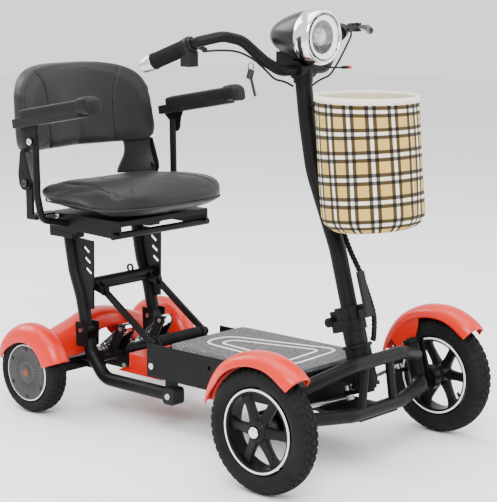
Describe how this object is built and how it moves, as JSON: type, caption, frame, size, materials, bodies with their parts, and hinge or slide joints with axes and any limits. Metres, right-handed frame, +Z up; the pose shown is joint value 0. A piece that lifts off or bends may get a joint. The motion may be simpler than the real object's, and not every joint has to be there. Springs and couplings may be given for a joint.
{
  "type": "mobility scooter",
  "caption": "Folding four-wheel mobility scooter with a tiller, round front basket, padded seat with flip-up armrests, red mudguards and rear hub motors.",
  "frame": {"origin": "centre of the whole scooter's bounding box in plan, on the floor under the tyres", "axes": "+X forward, +Y to the rider's left, +Z up"},
  "size_m": [1.04, 0.643, 0.918],
  "materials": {
    "frame_black": "satin black powder coat",
    "fender_red": "gloss tomato red",
    "tyre": "matte rubber",
    "rim_black": "satin black with a white line",
    "motor_black": "satin black cover",
    "chrome": "polished",
    "steel": "zinc plated",
    "grip_tape": "speckled anti-slip",
    "leather": "soft grained",
    "foam": "closed-cell foam",
    "plastic_black": "moulded",
    "lamp_shell": "gloss black with chrome bezel",
    "lamp_lens": "clear",
    "basket_cloth": "woven check",
    "cable_black": "cable sheath",
    "battery_case": "moulded"
  },
  "bodies": {
    "chassis": {"deck_tray": "frame_black", "deck_board": "grip_tape", "battery_pack": "battery_case", "controller_cover": "fender_red", "head_tube": "frame_black", "front_subframe": "frame_black", "rear_frame": "frame_black", "deck_handle": "foam", "frame_bolts": "chrome"},
    "swing_arm": {"swing_arm": "frame_black", "rear_axle_shafts": "steel", "rear_shroud": "fender_red", "rear_right_fender": "fender_red", "rear_left_fender": "fender_red"},
    "rear_right_wheel": {"rear_right_tyre": "tyre", "rear_right_motor": "motor_black"},
    "rear_left_wheel": {"rear_left_tyre": "tyre", "rear_left_motor": "motor_black"},
    "shock_bodies": {"shock_bodies": "steel", "shock_springs": "steel"},
    "shock_rods": {"shock_rods": "chrome"},
    "right_knuckle": {"right_knuckle": "frame_black", "front_right_fender": "fender_red", "right_axle_nut": "chrome"},
    "left_knuckle": {"left_knuckle": "frame_black", "front_left_fender": "fender_red", "left_axle_nut": "chrome"},
    "front_right_wheel": {"front_right_tyre": "tyre", "front_right_rim": "rim_black"},
    "front_left_wheel": {"front_left_tyre": "tyre", "front_left_rim": "rim_black"},
    "steerer": {"steerer": "frame_black"},
    "tie_rods": {"tie_rods": "steel"},
    "tiller": {"tiller_tube": "frame_black", "handlebar": "frame_black", "handlebar_grips": "foam", "throttle_housing": "plastic_black", "headlight_shell": "lamp_shell", "headlight_lens": "lamp_lens", "basket": "basket_cloth", "basket_hanger": "frame_black", "brake_perch": "frame_black", "throttle_cable": "cable_black", "brake_cable": "cable_black", "wiring_harness": "cable_black", "light_lead": "cable_black", "light_connector": "plastic_black"},
    "latch": {"latch_lever": "frame_black"},
    "throttle": {"throttle_lever": "plastic_black"},
    "brake": {"brake_lever": "plastic_black"},
    "key": {"ignition_key": "chrome"},
    "seat_frame": {"seat_posts": "frame_black", "seat_base": "frame_black", "seat_cushion": "leather", "armrest_frames": "frame_black"},
    "braces": {"braces": "frame_black"},
    "backrest": {"backrest": "leather"},
    "right_armrest": {"right_armrest_pad": "foam"},
    "left_armrest": {"left_armrest_pad": "foam"},
    "seat_lever": {"seat_lever": "steel"}
  },
  "joints": [
    {"name": "rear_suspension", "type": "hinge", "parent": "chassis", "child": "swing_arm", "pos_m": [-0.262, 0, 0.097], "axis": [0, 1, 0], "range_deg": [0, 5], "stiffness_Nm_per_rad": 900, "springref_deg": -6.88},
    {"name": "rear_right_spin", "type": "hinge", "parent": "swing_arm", "child": "rear_right_wheel", "pos_m": [-0.387, -0.204, 0.093], "axis": [0, 1, 0], "continuous": true},
    {"name": "rear_left_spin", "type": "hinge", "parent": "swing_arm", "child": "rear_left_wheel", "pos_m": [-0.387, 0.204, 0.093], "axis": [0, 1, 0], "continuous": true},
    {"name": "shock_tilt", "type": "hinge", "parent": "chassis", "child": "shock_bodies", "pos_m": [-0.232, 0, 0.193], "axis": [0, 1, 0], "range_deg": [-3, 3]},
    {"name": "shock_stroke", "type": "slide", "parent": "shock_bodies", "child": "shock_rods", "axis": [-0.7863, 0, -0.6178], "range_m": [-0.02, 0.001], "deforming": ["shock_springs"]},
    {"name": "steering", "type": "hinge", "parent": "chassis", "child": "steerer", "pos_m": [0.385, 0, 0.245], "axis": [-0.2756, 0, 0.9613], "range_deg": [-30, 30]},
    {"name": "right_kingpin", "type": "hinge", "parent": "chassis", "child": "right_knuckle", "pos_m": [0.387, -0.212, 0.127], "axis": [-0.2756, 0, 0.9613], "range_deg": [-30, 30]},
    {"name": "left_kingpin", "type": "hinge", "parent": "chassis", "child": "left_knuckle", "pos_m": [0.387, 0.212, 0.127], "axis": [-0.2756, 0, 0.9613], "range_deg": [-30, 30]},
    {"name": "tie_rod_swing", "type": "hinge", "parent": "steerer", "child": "tie_rods", "pos_m": [0.36553, 0, 0.13877], "axis": [-0.2756, 0, 0.9613], "range_deg": [-30, 30]},
    {"name": "front_right_spin", "type": "hinge", "parent": "right_knuckle", "child": "front_right_wheel", "pos_m": [0.387, -0.288, 0.127], "axis": [0, 1, 0], "continuous": true},
    {"name": "front_left_spin", "type": "hinge", "parent": "left_knuckle", "child": "front_left_wheel", "pos_m": [0.387, 0.288, 0.127], "axis": [0, 1, 0], "continuous": true},
    {"name": "tiller_fold", "type": "hinge", "parent": "steerer", "child": "tiller", "pos_m": [0.32819, 0, 0.28348], "axis": [0, 1, 0], "range_deg": [-15, 0]},
    {"name": "latch_release", "type": "hinge", "parent": "tiller", "child": "latch", "pos_m": [0.40935, 0, 0.30884], "axis": [0, 1, 0], "range_deg": [0, 60]},
    {"name": "throttle_press", "type": "hinge", "parent": "tiller", "child": "throttle", "pos_m": [0.1407, -0.22505, 0.85082], "axis": [0.8983, 0.2227, 0.3786], "range_deg": [-20, 0], "stiffness_Nm_per_rad": 0.4, "springref_deg": 17.19},
    {"name": "brake_squeeze", "type": "hinge", "parent": "tiller", "child": "brake", "pos_m": [0.19, 0.232, 0.872], "axis": [0, 0, 1], "range_deg": [0, 14], "stiffness_Nm_per_rad": 3, "springref_deg": -11.46},
    {"name": "key_swing", "type": "hinge", "parent": "tiller", "child": "key", "pos_m": [0.207, -0.125, 0.814], "axis": [0, 1, 0], "range_deg": [-20, 20]},
    {"name": "seat_fold", "type": "hinge", "parent": "chassis", "child": "seat_frame", "pos_m": [-0.313, 0, 0.186], "axis": [0, 1, 0], "range_deg": [0, 50]},
    {"name": "brace_swing", "type": "hinge", "parent": "seat_frame", "child": "braces", "pos_m": [-0.276, 0, 0.276], "axis": [0, 1, 0], "range_deg": [-84, 0]},
    {"name": "backrest_fold", "type": "hinge", "parent": "seat_frame", "child": "backrest", "pos_m": [-0.402, 0, 0.523], "axis": [0, 1, 0], "range_deg": [0, 80]},
    {"name": "right_armrest_flip", "type": "hinge", "parent": "seat_frame", "child": "right_armrest", "pos_m": [-0.352, -0.226, 0.622], "axis": [0, -1, 0], "range_deg": [0, 68]},
    {"name": "left_armrest_flip", "type": "hinge", "parent": "seat_frame", "child": "left_armrest", "pos_m": [-0.352, 0.226, 0.622], "axis": [0, -1, 0], "range_deg": [0, 68]},
    {"name": "seat_lever_pull", "type": "hinge", "parent": "seat_frame", "child": "seat_lever", "pos_m": [-0.362, -0.146, 0.446], "axis": [0, 0, 1], "range_deg": [-12, 0], "stiffness_Nm_per_rad": 1, "springref_deg": 11.46}
  ],
  "couplings": [
    {"joint": "right_kingpin", "follows": "steering", "ratio": 1},
    {"joint": "left_kingpin", "follows": "steering", "ratio": 1},
    {"joint": "tie_rod_swing", "follows": "steering", "ratio": -1},
    {"joint": "shock_tilt", "follows": "rear_suspension", "ratio": 0.32787},
    {"joint": "shock_stroke", "follows": "rear_suspension", "m_per_rad": -0.058139},
    {"joint": "brace_swing", "follows": "seat_fold", "ratio": -1.666}
  ]
}
